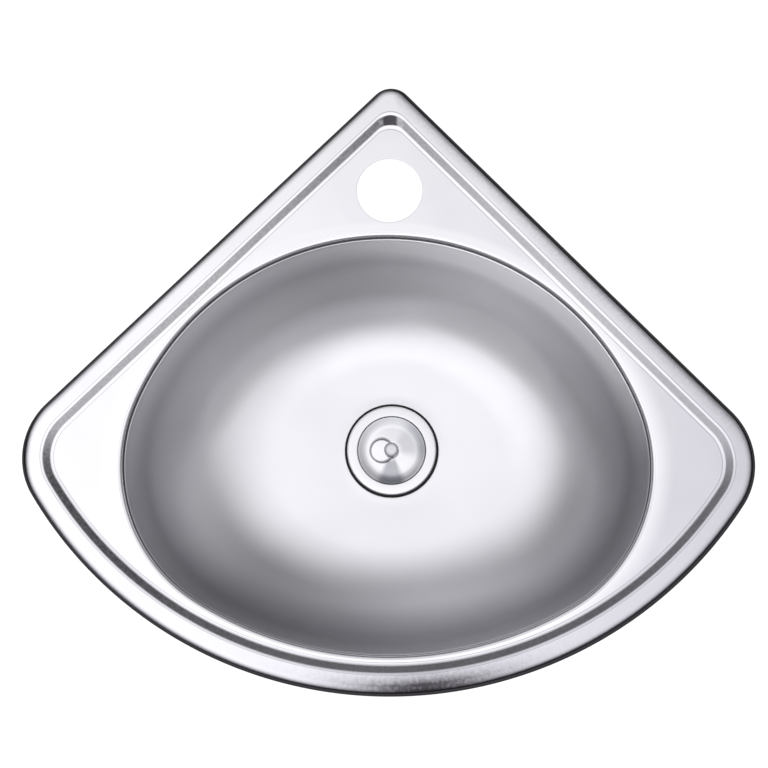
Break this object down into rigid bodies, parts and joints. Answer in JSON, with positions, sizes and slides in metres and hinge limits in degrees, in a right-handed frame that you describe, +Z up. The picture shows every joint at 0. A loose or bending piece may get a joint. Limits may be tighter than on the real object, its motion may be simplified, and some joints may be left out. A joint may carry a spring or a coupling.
{
  "type": "corner sink",
  "caption": "Triangular drop-in steel corner sink with a raised rim, a tap hole, a deep oval bowl, a flanged waste with a lift-out ring-pull plug, and swivelling worktop clips.",
  "frame": {"origin": "on the drain axis at worktop level, which is the plane of the rim's foam seal", "axes": "+Z up, +Y towards the wall corner with the tap hole, -Y towards the curved front"},
  "size_m": [0.4454, 0.3762, 0.186],
  "materials": {
    "satin_steel": "bright satin stainless steel",
    "bowl_steel": "fine matt drawn stainless steel",
    "polished_steel": "mirror polished",
    "zinc_steel": "bright zinc plating",
    "plated_brass": "cast and turned brass",
    "black_rubber": "matt black rubber",
    "foam_strip": "closed-cell foam",
    "damping_pad": "dull pressed pad",
    "white_nylon": "smooth moulded nylon",
    "grey_plastic": "moulded plastic"
  },
  "bodies": {
    "sink": {"deck_panel": "satin_steel", "bowl": "bowl_steel", "rim_seal": "foam_strip", "sound_pad": "damping_pad", "flange_gasket": "black_rubber", "waste_body": "polished_steel", "strainer_plate": "bowl_steel", "lower_gasket": "black_rubber", "slip_washer": "white_nylon", "back_nut": "plated_brass", "clip_channels": "zinc_steel", "clip_bolts": "zinc_steel", "clip_nuts": "zinc_steel"},
    "plug": {"plug_cap": "polished_steel", "plug_core": "grey_plastic", "plug_seal": "black_rubber", "plug_knob": "polished_steel", "plug_nut": "zinc_steel"},
    "ring": {"pull_ring": "polished_steel"},
    "clip_jaw_right_side": {"clip_jaw_right_side": "zinc_steel"},
    "clip_jaw_left_side": {"clip_jaw_left_side": "zinc_steel"},
    "clip_jaw_right_front": {"clip_jaw_right_front": "zinc_steel"},
    "clip_jaw_left_front": {"clip_jaw_left_front": "zinc_steel"}
  },
  "joints": [
    {"name": "plug_lift", "type": "slide", "parent": "sink", "child": "plug", "axis": [0, 0, 1], "range_m": [0, 0.15]},
    {"name": "ring_swing", "type": "hinge", "parent": "plug", "child": "ring", "pos_m": [0, 0, -0.1164], "axis": [0, 1, 0], "range_deg": [0, 149.3]},
    {"name": "clip_swivel_right_side", "type": "hinge", "parent": "sink", "child": "clip_jaw_right_side", "pos_m": [0.0439, 0.137, -0.037], "axis": [0, 0, -1], "range_deg": [0, 90]},
    {"name": "clip_swivel_left_side", "type": "hinge", "parent": "sink", "child": "clip_jaw_left_side", "pos_m": [-0.0439, 0.137, -0.037], "axis": [0, 0, 1], "range_deg": [0, 90]},
    {"name": "clip_swivel_right_front", "type": "hinge", "parent": "sink", "child": "clip_jaw_right_front", "pos_m": [0.18443, -0.03585, -0.037], "axis": [0, 0, 1], "range_deg": [0, 90]},
    {"name": "clip_swivel_left_front", "type": "hinge", "parent": "sink", "child": "clip_jaw_left_front", "pos_m": [-0.18443, -0.03585, -0.037], "axis": [0, 0, -1], "range_deg": [0, 90]}
  ]
}
